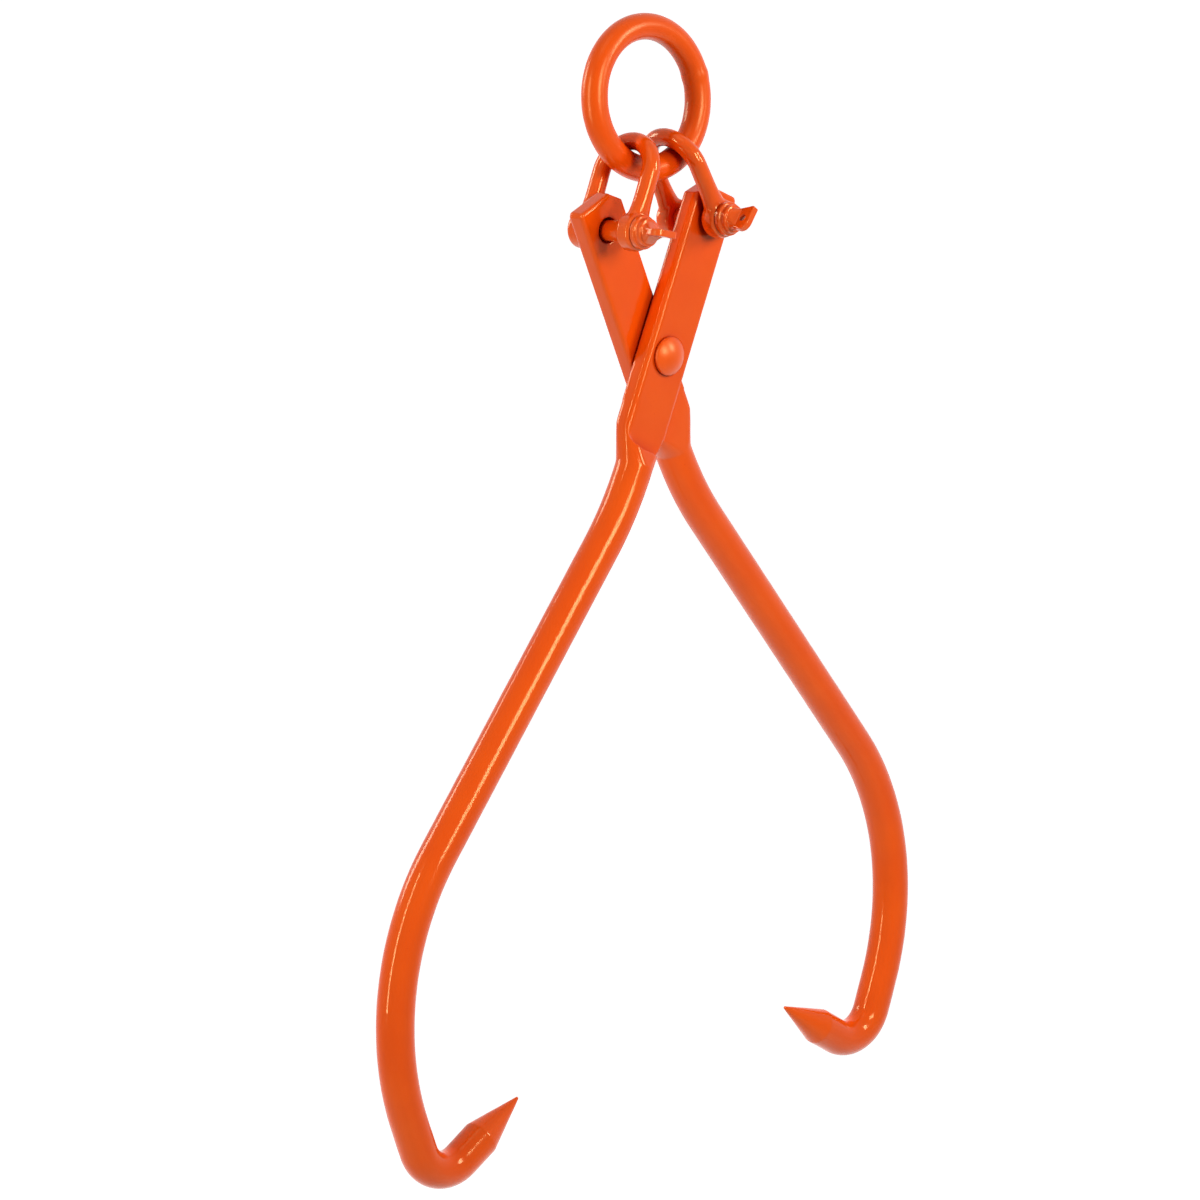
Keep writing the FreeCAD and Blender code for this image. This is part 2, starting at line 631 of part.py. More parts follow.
front_arm = build_arm("front_arm")
front_arm.Placement = Placement(pivot, Rotation(AXIS_Y, size("flat_angle")))
back_arm = build_arm("back_arm")
back_arm.Placement = Placement(pivot, Rotation(AXIS_Z, 180) * Rotation(AXIS_Y, size("flat_angle")))
rivet = build_rivet("pivot_rivet")
rivet.Placement = Placement(pivot, Rotation())

pieces = [ring, front_arm, back_arm, rivet]
for name, side in (("left", -1), ("right", 1)):
    place = Vector(side * pin_across, side * sides[name], pin_height)
    swing = -side * math.degrees(swings[name])
    hanging = Rotation(AXIS_Y, swing) * Rotation(AXIS_X, -math.degrees(tilts[name]))
    shackle = build_shackle(f"{name}_shackle")
    shackle.Placement = Placement(place, hanging)
    pin = build_pin(f"{name}_screw_pin")
    pin.Placement = Placement(place, hanging * Rotation(AXIS_Y, size(f"{name}_tab_angle") - swing))
    pieces += [shackle, pin]

doc.recompute()
for item in doc.Objects:
    if "Invalid" in item.State or "Error" in item.State:
        raise RuntimeError(f"{item.Label} failed: {item.State}")
for piece in pieces:
    if piece.Shape.isNull() or not piece.Shape.isValid():
        raise RuntimeError(f"{piece.Label} has no valid shape")

os.makedirs("parts", exist_ok=True)
for piece in pieces:
    piece.Shape.exportStep(f"parts/{piece.Label}.step")
    print(f"{piece.Label}: {len(piece.Shape.Solids)} solid, {piece.Shape.Volume / 1000:.2f} cm3")
print(f"pivot at {pivot_height:.3f}, pins at {pin_across:.3f} and {pin_height:.3f}, "
      f"bows at {bow_across:.3f} and {bow_height:.3f}")
for name in tilts:
    print(f"{name} shackle: swing {math.degrees(swings[name]):.3f}, side {sides[name]:.3f}")
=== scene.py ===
import json
import math

import bmesh
import bpy
from mathutils import Matrix, Vector


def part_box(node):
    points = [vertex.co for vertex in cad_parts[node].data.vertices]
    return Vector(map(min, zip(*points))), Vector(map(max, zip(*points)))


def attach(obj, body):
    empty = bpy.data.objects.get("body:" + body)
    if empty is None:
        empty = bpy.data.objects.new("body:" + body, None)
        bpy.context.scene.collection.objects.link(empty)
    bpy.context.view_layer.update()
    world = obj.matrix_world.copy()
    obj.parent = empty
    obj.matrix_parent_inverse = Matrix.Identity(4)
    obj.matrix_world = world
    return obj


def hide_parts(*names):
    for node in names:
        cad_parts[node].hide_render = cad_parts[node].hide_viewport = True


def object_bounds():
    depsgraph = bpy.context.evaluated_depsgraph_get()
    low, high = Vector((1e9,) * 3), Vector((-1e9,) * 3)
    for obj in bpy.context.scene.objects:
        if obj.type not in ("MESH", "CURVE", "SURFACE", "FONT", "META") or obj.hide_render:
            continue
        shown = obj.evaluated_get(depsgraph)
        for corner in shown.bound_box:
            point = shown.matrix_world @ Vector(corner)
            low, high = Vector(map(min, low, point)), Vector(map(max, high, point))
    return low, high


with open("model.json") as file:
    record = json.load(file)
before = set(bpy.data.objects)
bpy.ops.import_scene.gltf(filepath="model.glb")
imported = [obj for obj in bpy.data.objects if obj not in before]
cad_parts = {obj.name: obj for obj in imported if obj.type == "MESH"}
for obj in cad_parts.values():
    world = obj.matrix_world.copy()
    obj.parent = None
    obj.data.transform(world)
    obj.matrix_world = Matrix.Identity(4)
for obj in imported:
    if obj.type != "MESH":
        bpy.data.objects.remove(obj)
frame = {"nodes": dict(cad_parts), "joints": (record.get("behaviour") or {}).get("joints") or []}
cadBox = [list(corner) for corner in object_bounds()]
joints = {joint["name"]: joint for joint in frame["joints"]}
pivotPoint = Vector(joints["arm_pivot"]["pos_m"])
print("frame loaded:", sorted(frame["nodes"]))


# small hand tools, pieces are drawn in millimetres about their own axes

hair = 0.01  # how near two places count as one when edges are picked


def clearPick():
    if bpy.context.object and bpy.context.object.mode == "EDIT":
        bpy.ops.object.mode_set(mode="OBJECT")
    bpy.ops.object.select_all(action="DESELECT")


def choose(piece, *others):
    clearPick()
    for one in (piece, *others):
        one.select_set(True)
    bpy.context.view_layer.objects.active = piece


def openMesh(piece):
    choose(piece)
    bpy.ops.object.mode_set(mode="EDIT")


def closeMesh():
    bpy.ops.object.mode_set(mode="OBJECT")


def pickEdges(piece, test):
    bpy.ops.mesh.select_mode(type="EDGE")
    bpy.ops.mesh.select_all(action="DESELECT")
    shape = bmesh.from_edit_mesh(piece.data)
    for edge in shape.edges:
        edge.select_set(test(edge.verts[0].co, edge.verts[1].co))
    bmesh.update_edit_mesh(piece.data)


def pickVerts(piece, test):
    bpy.ops.mesh.select_mode(type="VERT")
    bpy.ops.mesh.select_all(action="DESELECT")
    shape = bmesh.from_edit_mesh(piece.data)
    for vert in shape.verts:
        vert.select_set(test(vert.co))
    shape.select_flush(True)
    bmesh.update_edit_mesh(piece.data)


def bevelWhere(piece, test, offset, segments):
    pickEdges(piece, test)
    bpy.ops.mesh.bevel(offset=offset, segments=segments, affect="EDGES")


def bevelPiece(piece, test, offset, segments):
    openMesh(piece)
    bevelWhere(piece, test, offset, segments)
    closeMesh()


def drawOut(way):  # extrudes what is picked
    bpy.ops.mesh.extrude_region_move(TRANSFORM_OT_translate={"value": way})


def fixPlace(piece):
    choose(piece)
    bpy.ops.object.transform_apply(location=True, rotation=True, scale=True)


def block(centre, size):
    clearPick()
    bpy.ops.mesh.primitive_cube_add(size=1, location=centre, scale=size)
    fixPlace(bpy.context.object)
    return bpy.context.object


def roundBar(centre, radius, length, along="Y", sides=64):
    clearPick()
    lay = {"X": (0, math.pi / 2, 0), "Y": (math.pi / 2, 0, 0), "Z": (0, 0, 0)}[along]
    bpy.ops.mesh.primitive_cylinder_add(vertices=sides, radius=radius, depth=length, location=centre,
                                        rotation=lay)
    fixPlace(bpy.context.object)
    return bpy.context.object


def startRod(centre, radius, sides):  # one end face, picked and ready to be drawn out
    clearPick()
    bpy.ops.mesh.primitive_circle_add(vertices=sides, radius=radius, fill_type="NGON", location=centre)
    rod = bpy.context.object
    fixPlace(rod)
    openMesh(rod)
    bpy.ops.mesh.select_all(action="SELECT")
    return rod


def endRod():  # closes the open end and turns every face outwards
    bpy.ops.mesh.fill_holes(sides=0)
    bpy.ops.mesh.normals_make_consistent(inside=False)
    closeMesh()


def useModifier(piece, kind, **settings):
    choose(piece)
    modifier = piece.modifiers.new(kind.lower(), kind)
    for name, value in settings.items():
        setattr(modifier, name, value)
    bpy.ops.object.modifier_apply(modifier=modifier.name)


def cutAway(piece, tool):
    useModifier(piece, "BOOLEAN", operation="DIFFERENCE", object=tool, solver="EXACT")
    bpy.data.objects.remove(tool)


def joinUp(*shells):
    choose(*shells)
    bpy.ops.object.join()
    openMesh(bpy.context.object)
    bpy.ops.mesh.select_all(action="SELECT")
    return bpy.context.object


def hullOf(*shells):
    piece = joinUp(*shells)
    bpy.ops.mesh.convex_hull()
    closeMesh()
    return piece


def fuse(voxel, rounds, *shells):
    piece = joinUp(*shells)
    bpy.ops.mesh.normals_make_consistent(inside=False)
    closeMesh()
    useModifier(piece, "REMESH", mode="VOXEL", voxel_size=voxel)
    useModifier(piece, "SMOOTH", factor=0.5, iterations=rounds)
    return piece


def easeZone(piece, test, rounds):  # runs one stretch of a forging smoothly together
    choose(piece)
    group = piece.vertex_groups.new(name="ease")
    group.add([vert.index for vert in piece.data.vertices if test(vert.co)], 1.0, "REPLACE")
    useModifier(piece, "SMOOTH", factor=0.5, iterations=rounds, vertex_group="ease")
    piece.vertex_groups.clear()


def unevenSkin(piece, depth, scale):  # hammer and mill unevenness, only ever inwards
    texture = bpy.data.textures.new(piece.name + "Skin", "CLOUDS")
    texture.noise_scale = scale
    texture.noise_depth = 1
    useModifier(piece, "DISPLACE", texture=texture, strength=depth, mid_level=1.0, texture_coords="LOCAL")


def copyOf(piece):
    choose(piece)
    bpy.ops.object.duplicate(linked=False)
    return bpy.context.object


def turn(axis, degrees):
    return Matrix.Rotation(math.radians(degrees), 4, axis)


def setDown(piece, name, matrix, body, node, paint):
    piece.name = name
    piece.data.name = name
    piece.matrix_world = matrix @ Matrix.Scale(0.001, 4)  # millimetres to metres
    fixPlace(piece)
    bpy.ops.object.shade_smooth()
    piece.data.materials.clear()
    piece.data.materials.append(paint)
    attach(piece, body)
    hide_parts(node)
    corners = [vert.co for vert in piece.data.vertices]
    off = []
    for extreme, solidCorner in zip((min, max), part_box(node)):
        for axis in range(3):
            reach = extreme(corner[axis] for corner in corners)
            off.append(round(1000 * (reach - solidCorner[axis]), 2))
    print(name, "faces", len(piece.data.polygons), "off the solid by mm", off)


# paint: one orange enamel, laid thicker or thinner on each kind of piece, with painted shade darkening its
# corners and creases

enamel = {
    "orange": (0.84, 0.080, 0.0010, 1), "deep": (0.68, 0.034, 0.001, 1), "light": (0.90, 0.105, 0.003, 1),
    # crease colour, reach, samples and range: painted shade that darkens corners and creases
    "paintedShade": (0.40, 0.010, 0.001, 1), "paintedShadeReach": 0.008, "paintedShadeSamples": 8,
    "paintedShadeRange": (0.30, 0.92), "sheen": (1.0, 0.78, 0.34, 1),
    "cloudRange": (0.36, 0.64), "cloudDull": 0.06,
    "speckSize": 260.0, "speckRange": (0.05, 0.12), "fewScale": 45.0, "fewRange": (0.58, 0.66),
    "nibHeight": 0.4, "filmDepth": 0.0006,
}


def link(tree, start, end):
    tree.links.new(start, end)


def addNode(tree, kind, values, feeds, **settings):  # values are set, feeds are linked from other nodes
    node = tree.nodes.new("ShaderNode" + kind)
    for name, value in settings.items():
        setattr(node, name, value)
    for name, value in values.items():
        node.inputs[name].default_value = value
    for name, source in feeds.items():
        link(tree, source, node.inputs[name])
    return node.outputs


def blend(tree, share, one, other):
    return addNode(tree, "Mix", {}, {"Factor": share, "A": one, "B": other}, data_type="RGBA")["Result"]


def spreadOut(tree, value, limits, falling=False):  # limits become 0 and 1, or 1 and 0
    ends = {"From Min": limits[0], "From Max": limits[1]}
    if falling:
        ends.update({"To Min": 1.0, "To Max": 0.0})
    return addNode(tree, "MapRange", ends, {"Value": value})["Result"]


def combine(tree, operation, *feeds):
    return addNode(tree, "Math", {}, dict(enumerate(feeds)), operation=operation)["Value"]


def scaledSum(tree, value, scale, base):
    return addNode(tree, "Math", {1: scale}, {0: value, 2: base}, operation="MULTIPLY_ADD")["Value"]


def objectPlace(tree):
    return addNode(tree, "TexCoord", {}, {})["Object"]


def startGroup(name, inputs, outputs):
    tree = bpy.data.node_groups.new(name, "ShaderNodeTree")
    for way, sockets in (("INPUT", inputs), ("OUTPUT", outputs)):
        for socket, kind in sockets.items():
            tree.interface.new_socket(name=socket, in_out=way, socket_type="NodeSocket" + kind)
    return tree, tree.nodes.new("NodeGroupInput").outputs, tree.nodes.new("NodeGroupOutput").inputs


def makeCoatGroup():
    tree, given, result = startGroup(
        "enamelCoat",
        {"Orange": "Color", "Deep": "Color", "Light": "Color", "Cloud Size": "Float",
         "Cloud Amount": "Float", "Peel Size": "Float", "Gloss": "Float"},
        {"Color": "Color", "Roughness": "Float", "Height": "Float"})
    place = objectPlace(tree)
    clouds = addNode(tree, "TexNoise", {"Detail": 3.0, "Roughness": 0.55},
                     {"Vector": place, "Scale": given["Cloud Size"]})["Fac"]  # uneven film thickness
    tone = blend(tree, spreadOut(tree, clouds, enamel["cloudRange"]), given["Deep"], given["Light"])
    link(tree, blend(tree, given["Cloud Amount"], given["Orange"], tone), result["Color"])
    peel = addNode(tree, "TexNoise", {"Detail": 2.0},
                   {"Vector": place, "Scale": given["Peel Size"]})["Fac"]  # orange peel of the dried film
    link(tree, peel, result["Height"])
    link(tree, scaledSum(tree, clouds, enamel["cloudDull"], given["Gloss"]), result["Roughness"])
    return tree


def makeSpeckGroup():
    tree, given, result = startGroup(
        "paintSpecks",
        {"Color": "Color", "Speck": "Color", "Size": "Float", "Amount": "Float"},
        {"Color": "Color", "Height": "Float"})
    place = objectPlace(tree)
    spots = addNode(tree, "TexVoronoi", {},
                    {"Vector": place, "Scale": given["Size"]})["Distance"]  # dust nibs and pinholes
    few = addNode(tree, "TexNoise", {"Scale": enamel["fewScale"]},
                  {"Vector": place})["Fac"]  # only here and there
    small = spreadOut(tree, spots, enamel["speckRange"], falling=True)
    both = combine(tree, "MULTIPLY", small, spreadOut(tree, few, enamel["fewRange"]))
    share = combine(tree, "MULTIPLY", both, given["Amount"])
    link(tree, blend(tree, share, given["Color"], given["Speck"]), result["Color"])
    link(tree, both, result["Height"])
    return tree


# painted shade: ambient occlusion darkens the paint in corners, creases and gaps, where shade falls
def makePaintedShadeGroup():
    tree, given, result = startGroup(
        "paintedCreaseShade", {"Color": "Color", "Painted Shade": "Color", "Reach": "Float"}, {"Color": "Color"})
    nearby = addNode(tree, "AmbientOcclusion", {}, {"Distance": given["Reach"]},
                     samples=enamel["paintedShadeSamples"])["AO"]  # painted shade: ambient occlusion darkens the colour in corners, creases and gaps between parts
    depth = spreadOut(tree, nearby, enamel["paintedShadeRange"], falling=True)
    link(tree, blend(tree, depth, given["Color"], given["Painted Shade"]), result["Color"])
    return tree


coatGroup = makeCoatGroup()
speckGroup = makeSpeckGroup()
paintedShadeGroup = makePaintedShadeGroup()


def makeEnamel(name, cloudSize, cloudAmount, peelSize, peelDepth, gloss, specks, shine):
    paint = bpy.data.materials.new(name)
    paint.use_nodes = True
    tree = paint.node_tree
    shader = tree.nodes["Principled BSDF"].inputs
    shader["Specular IOR Level"].default_value = shine
    shader["Specular Tint"].default_value = enamel["sheen"]
    coat = addNode(tree, "Group",
                   {"Orange": enamel["orange"], "Deep": enamel["deep"], "Light": enamel["light"],
                    "Cloud Size": cloudSize, "Cloud Amount": cloudAmount, "Peel Size": peelSize,
                    "Gloss": gloss}, {}, node_tree=coatGroup)
    spots = addNode(tree, "Group",
                    {"Speck": enamel["deep"], "Size": enamel["speckSize"], "Amount": specks},
                    {"Color": coat["Color"]}, node_tree=speckGroup)
    # painted shade laid over the paint colour in corners and creases
    corner = addNode(tree, "Group", {"Painted Shade": enamel["paintedShade"], "Reach": enamel["paintedShadeReach"]},
                     {"Color": spots["Color"]}, node_tree=paintedShadeGroup)
    link(tree, corner["Color"], shader["Base Color"])
    link(tree, coat["Roughness"], shader["Roughness"])
    height = scaledSum(tree, spots["Height"], enamel["nibHeight"], coat["Height"])
    bump = addNode(tree, "Bump", {"Strength": peelDepth, "Distance": enamel["filmDepth"]},
                   {"Height": height})
    link(tree, bump["Normal"], shader["Normal"])
    return paint


armPaint = makeEnamel("armEnamel", cloudSize=24.0, cloudAmount=0.16, peelSize=420.0, peelDepth=0.05,
                      gloss=0.10, specks=0.5, shine=0.33)
ringPaint = makeEnamel("ringEnamel", cloudSize=40.0, cloudAmount=0.14, peelSize=520.0, peelDepth=0.05,
                       gloss=0.24, specks=0.2, shine=0.40)
shacklePaint = makeEnamel("shackleEnamel", cloudSize=70.0, cloudAmount=0.20, peelSize=600.0, peelDepth=0.05,
                          gloss=0.10, specks=0.2, shine=0.50)
pinPaint = makeEnamel("pinEnamel", cloudSize=90.0, cloudAmount=0.24, peelSize=650.0, peelDepth=0.06,
                      gloss=0.09, specks=0.3, shine=0.55)
rivetPaint = makeEnamel("rivetEnamel", cloudSize=60.0, cloudAmount=0.14, peelSize=520.0, peelDepth=0.05,
                        gloss=0.30, specks=0.2, shine=0.65)
print("paint mixed")


# arms: pivot at the origin, flat upright, outside to -X, mating face to +Y

arm = {
    "flatWidth": 33.4, "flatThick": 11.6, "flatOffset": 1.4, "flatTop": 101.6, "halfGap": 0.1,
    "edge": 2.0, "outerEdge": 3.6, "outerCorner": 8.0, "innerCorner": 2.0,
    "shoulderTop": 46.0, "shoulderFoot": 65.4, "stepDown": 56.5, "stepCorner": 13.0,
    "padThick": 2.0, "discThick": 1.0, "cutter": 40.0,
    "bar": 22.0, "barSides": 48, "barDepth": 11.5, "barOffset": -0.7,
    "neckRun": 1.0, "neckRadius": 191.0, "neckTurn": 15.5, "run": 202.1,
    "bellyRadius": 153.0, "bellyTurn": 60.4, "clawLead": 19.3, "clawRadius": 22.7, "clawTurn": 99.8,
    "stub": 18.4, "point": 34.6, "tip": 1.6,
    "pinHole": 14.4, "pinOffset": 2.4, "pinUp": 83.0, "rivetHole": 13.2, "lean": 24.1,
    "voxel": 0.56, "rounds": 3, "kept": 0.42, "skinDepth": 0.12, "skinScale": 9.0,
    "easeIn": 7.0, "easeAbove": 14.0, "easeBelow": 8.0, "easeRounds": 60,
    "lipFrom": 4.0, "lipAbove": 1.0, "lipRounds": 16,
}


def headingOf(angle):  # degrees from straight down, positive to the outside
    return Vector((-math.sin(math.radians(angle)), 0, -math.cos(math.radians(angle))))


def armFlat():
    a = arm
    low = -a["shoulderTop"]
    left = a["flatOffset"] - a["flatWidth"] / 2
    right = a["flatOffset"] + a["flatWidth"] / 2
    mating = -a["halfGap"]
    outer = mating - a["flatThick"]
    middle = mating - a["flatThick"] / 2
    flat = block((a["flatOffset"], middle, (a["flatTop"] + low) / 2),
                 (a["flatWidth"], a["flatThick"], a["flatTop"] - low))
    openMesh(flat)
    for side, corner in ((left, a["outerCorner"]), (right, a["innerCorner"])):
        bevelWhere(flat, lambda p, q: min(p.z, q.z) > a["flatTop"] - hair
                   and abs(p.x - side) + abs(q.x - side) < hair, corner, segments=1)

    def outerRim(p, q):  # forged rounder than the others
        return max(p.y, q.y) < outer + hair and max(p.x, q.x) < left + hair

    def otherRims(p, q):
        alongFace = abs(p.y - q.y) < hair and max(p.z, q.z) > low + hair
        return alongFace and (p.y > mating - hair or max(p.x, q.x) > left + a["outerEdge"] + hair)

    bevelWhere(flat, outerRim, a["outerEdge"], segments=6)
    bevelWhere(flat, otherRims, a["edge"], segments=2)
    closeMesh()
    cutAway(flat, roundBar((a["pinOffset"], middle, a["pinUp"]), a["pinHole"] / 2, a["cutter"]))
    cutAway(flat, roundBar((0, middle, 0), a["rivetHole"] / 2, a["cutter"]))
    return flat


def armShoulder():
    a = arm
    left = a["flatOffset"] - a["flatWidth"] / 2
    face = -a["halfGap"] - a["flatThick"]
    middle = -a["halfGap"] - a["flatThick"] / 2
    pad = block((a["flatOffset"], middle, -a["shoulderTop"] + a["padThick"] / 2),
                (a["flatWidth"], a["flatThick"], a["padThick"]))
    bevelPiece(pad, lambda p, q: abs(p.x - q.x) + abs(p.y - q.y) < hair, a["edge"], segments=1)
    disc = roundBar((a["barOffset"], -a["barDepth"], -a["shoulderFoot"] - a["discThick"] / 2),
                    a["bar"] / 2, a["discThick"], "Z")
    shoulder = hullOf(pad, disc)
    # the die's imprint: a step across the front with a rounded outer corner
    half = a["cutter"] / 2
    wide = a["flatWidth"] + half
    tool = block((left + wide / 2, face - half, -a["stepDown"] + half), (wide, a["cutter"], a["cutter"]))
    bevelPiece(tool, lambda p, q: max(p.x, q.x) < left + hair and max(p.z, q.z) < -a["stepDown"] + hair,
               a["stepCorner"], segments=8)
    cutAway(shoulder, tool)
    cutAway(shoulder, block((left - half / 2, face - half, -a["stepDown"] + a["stepCorner"] + half),
                            (half, a["cutter"], a["cutter"])))
    return shoulder


def armBar():
    a = arm
    here = Vector((a["barOffset"], -a["barDepth"], -a["shoulderFoot"]))
    angle = 0.0
    bar = startRod(here, a["bar"] / 2, a["barSides"])
    legs = [(a["neckRun"], 0, 1), (a["neckRadius"], a["neckTurn"], 14), (a["run"], 0, 20),
            (a["bellyRadius"], -a["bellyTurn"], 40), (a["clawLead"], 0, 3),
            (a["clawRadius"], -a["clawTurn"], 36), (a["stub"], 0, 3)]
    for size, bend, steps in legs:  # size is a bend's radius or a straight run's length
        forward = headingOf(angle)
        if bend:
            centre = here + Vector((forward.z, 0, -forward.x)) * math.copysign(size, bend)
            bpy.ops.mesh.spin(steps=steps, angle=-math.radians(bend), center=centre, axis=(0, 1, 0))
            here = centre + turn("Y", bend) @ (here - centre)
            angle += bend
        else:
            for i in range(steps):
                drawOut(forward * (size / steps))
            here += forward * size
    drawOut(headingOf(angle) * a["point"])
    here += headingOf(angle) * a["point"]
    small = a["tip"] / a["bar"]
    bpy.ops.transform.resize(value=(small, small, small), center_override=here)
    bpy.ops.mesh.select_all(action="SELECT")
    bpy.ops.mesh.remove_doubles(threshold=0.001)
    endRod()
    return bar


def makeArm():
    a = arm
    piece = fuse(a["voxel"], a["rounds"], armFlat(), armShoulder(), armBar())
    outside = a["flatOffset"] - a["flatWidth"] / 2 + a["easeIn"]
    easeFoot = -a["shoulderFoot"] - a["easeBelow"]
    easeTop = -a["shoulderTop"] + a["easeAbove"]
    easeZone(piece, lambda p: easeFoot < p.z < easeTop and p.x < outside, a["easeRounds"])
    inside = a["flatOffset"] + a["lipFrom"]
    lipTop = -a["stepDown"] + a["lipAbove"]
    easeZone(piece, lambda p: -a["shoulderFoot"] < p.z < lipTop and p.x > inside, a["lipRounds"])
    unevenSkin(piece, a["skinDepth"], a["skinScale"])
    useModifier(piece, "DECIMATE", ratio=a["kept"])  # flat and straight stretches need fewer faces
    return piece


frontArm = makeArm()
backArm = copyOf(frontArm)
setDown(frontArm, "frontArmForging", Matrix.Translation(pivotPoint) @ turn("Y", arm["lean"]),
        "front_arm", "front_arm", armPaint)
setDown(backArm, "backArmForging", Matrix.Translation(pivotPoint) @ turn("Z", 180) @ turn("Y", arm["lean"]),
        "back_arm", "back_arm", armPaint)


# shackles: pin along Y through the origin, crown up

shackle = {
    "rod": 10.4, "rodSides": 40, "jaw": 27.0, "crown": 53.8, "crownSteps": 32,
    "ear": 22.0, "earThick": 10.8, "earRound": 2.6, "hole": 12.2, "cutter": 80.0,
    "legFlare": ((5.0, 1.6), (10.0, 1.34), (15.5, 1.13), (22.0, 1.03)),  # height, widening
    "left": {"swing": 25.127, "tilt": 3.2}, "right": {"swing": -25.188, "tilt": 5.0},
    "voxel": 0.42, "rounds": 4, "easeFrom": 6.5, "easeTo": 20.0, "easeRounds": 30,
}


def makeShackle():
    s = shackle
    leg = (s["jaw"] + s["earThick"]) / 2
    crownUp = s["crown"] - leg
    heights = [height for height, across in s["legFlare"]] + [crownUp]
    rises = [high - low for low, high in zip(heights, heights[1:])]
    bow = startRod((0, -leg, heights[0]), s["rod"] / 2, s["rodSides"])
    for rise in rises:
        drawOut((0, 0, rise))
    bpy.ops.mesh.spin(steps=s["crownSteps"], angle=math.pi, center=(0, 0, crownUp), axis=(1, 0, 0))
    for rise in reversed(rises):
        drawOut((0, 0, -rise))
    for height, across in s["legFlare"]:  # the legs widen into the ears
        for side in (-1, 1):
            pickVerts(bow, lambda p: abs(p.z - height) < hair and p.y * side > 0)
            bpy.ops.transform.resize(value=(across, 1, 1), center_override=(0, side * leg, height))
    bpy.ops.mesh.select_all(action="SELECT")
    endRod()
    shells = [bow]
    for side in (-1, 1):
        ear = roundBar((0, side * leg, 0), s["ear"] / 2, s["earThick"])
        bevelPiece(ear, lambda p, q: abs(p.y - q.y) < hair, s["earRound"], segments=4)
        shells.append(ear)
    piece = fuse(s["voxel"], s["rounds"], *shells)
    easeZone(piece, lambda p: s["easeFrom"] < p.z < s["easeTo"], s["easeRounds"])
    cutAway(piece, roundBar((0, 0, 0), s["hole"] / 2, s["cutter"]))
    return piece


# screw pins: axis along Y, collars and thumb tab to the front, tab upright

pin = {
    "shaft": 12.0, "backEnd": 25.8, "endBevel": 1.2, "seat": 24.4,
    "collar": 19.6, "collarWide": 3.3, "secondCollar": 16.4, "secondWide": 3.3, "collarEdge": 0.9,
    "overlap": 1.0, "discThick": 1.0, "hub": 13.0, "hubEnd": 35.5, "hubEndThick": 3.6,
    "tabThick": 4.0, "tabEnd": 44.4, "tabWide": 17.0, "tabRoot": 11.0, "tabTip": 1.6, "tabRound": 6.5,
    "tabHole": 4.4, "tabHoleAt": 39.0, "cutter": 20.0,
    "leftTurn": 103.0, "rightTurn": 38.0, "voxel": 0.34, "rounds": 2,
}


def makePin():
    p = pin
    first = p["seat"] + p["collarWide"]
    second = first + p["secondWide"]
    shaft = roundBar((0, (p["backEnd"] - p["seat"]) / 2, 0), p["shaft"] / 2, p["backEnd"] + p["seat"])
    bevelPiece(shaft, lambda a, b: min(a.y, b.y) > p["backEnd"] - hair, p["endBevel"], segments=3)
    shells = [shaft]
    collars = ((p["collar"], p["seat"], first), (p["secondCollar"], first - p["overlap"], second))
    for wide, near, far in collars:
        collar = roundBar((0, -(near + far) / 2, 0), wide / 2, far - near)
        bevelPiece(collar, lambda a, b: max(a.y, b.y) < -far + hair, p["collarEdge"], segments=3)
        shells.append(collar)
    # the hub is drawn out flat into the tab
    hubRoot = roundBar((0, -second + p["discThick"] / 2, 0), p["hub"] / 2, p["discThick"])
    hubEnd = block((0, -p["hubEnd"], 0), (p["hubEndThick"], p["discThick"], p["tabRoot"]))
    shells.append(hullOf(hubRoot, hubEnd))
    tab = block((0, -(second + p["tabEnd"]) / 2, 0), (p["tabThick"], p["tabEnd"] - second, p["tabWide"]))
    openMesh(tab)
    pickVerts(tab, lambda a: a.y > -second - hair)
    narrow = p["tabRoot"] / p["tabWide"]
    bpy.ops.transform.resize(value=(1, 1, narrow), center_override=(0, -second, 0))
    for way, corner in ((1, p["tabTip"]), (-1, p["tabRound"])):  # a wing tip above, a round corner below
        bevelWhere(tab, lambda a, b: abs(a.x - b.x) > hair and max(a.y, b.y) < -p["tabEnd"] + hair
                   and a.z * way > p["tabRoot"] / 2, corner, segments=6)
    closeMesh()
    shells.append(tab)
    piece = fuse(p["voxel"], p["rounds"], *shells)
    cutAway(piece, roundBar((0, -p["tabHoleAt"], 0), p["tabHole"] / 2, p["cutter"], "X", 32))
    return piece


shackleMaster = makeShackle()
pinMaster = makePin()
for side, shacklePiece, pinPiece in (("left", shackleMaster, pinMaster),
                                     ("right", copyOf(shackleMaster), copyOf(pinMaster))):
    pose = shackle[side]
    pinPlace = Matrix.Translation(Vector(joints[side + "_pin_turn"]["pos_m"]))
    hanging = pinPlace @ turn("Y", pose["swing"]) @ turn("X", -pose["tilt"])
    setDown(shacklePiece, side + "BowShackle", hanging, side + "_shackle", side + "_shackle", shacklePaint)
    setDown(pinPiece, side + "ScrewPin", hanging @ turn("Y", pin[side + "Turn"] - pose["swing"]),
            side + "_pin", side + "_screw_pin", pinPaint)


# rivet: axis along Y, a dome at each end

rivet = {
    "shank": 13.0, "head": 22.4, "height": 6.0, "edge": 1.8, "lipIn": 0.5, "lipUp": 0.3,
    "front": 11.8, "back": 11.7, "rings": 9, "sides": 72,
}


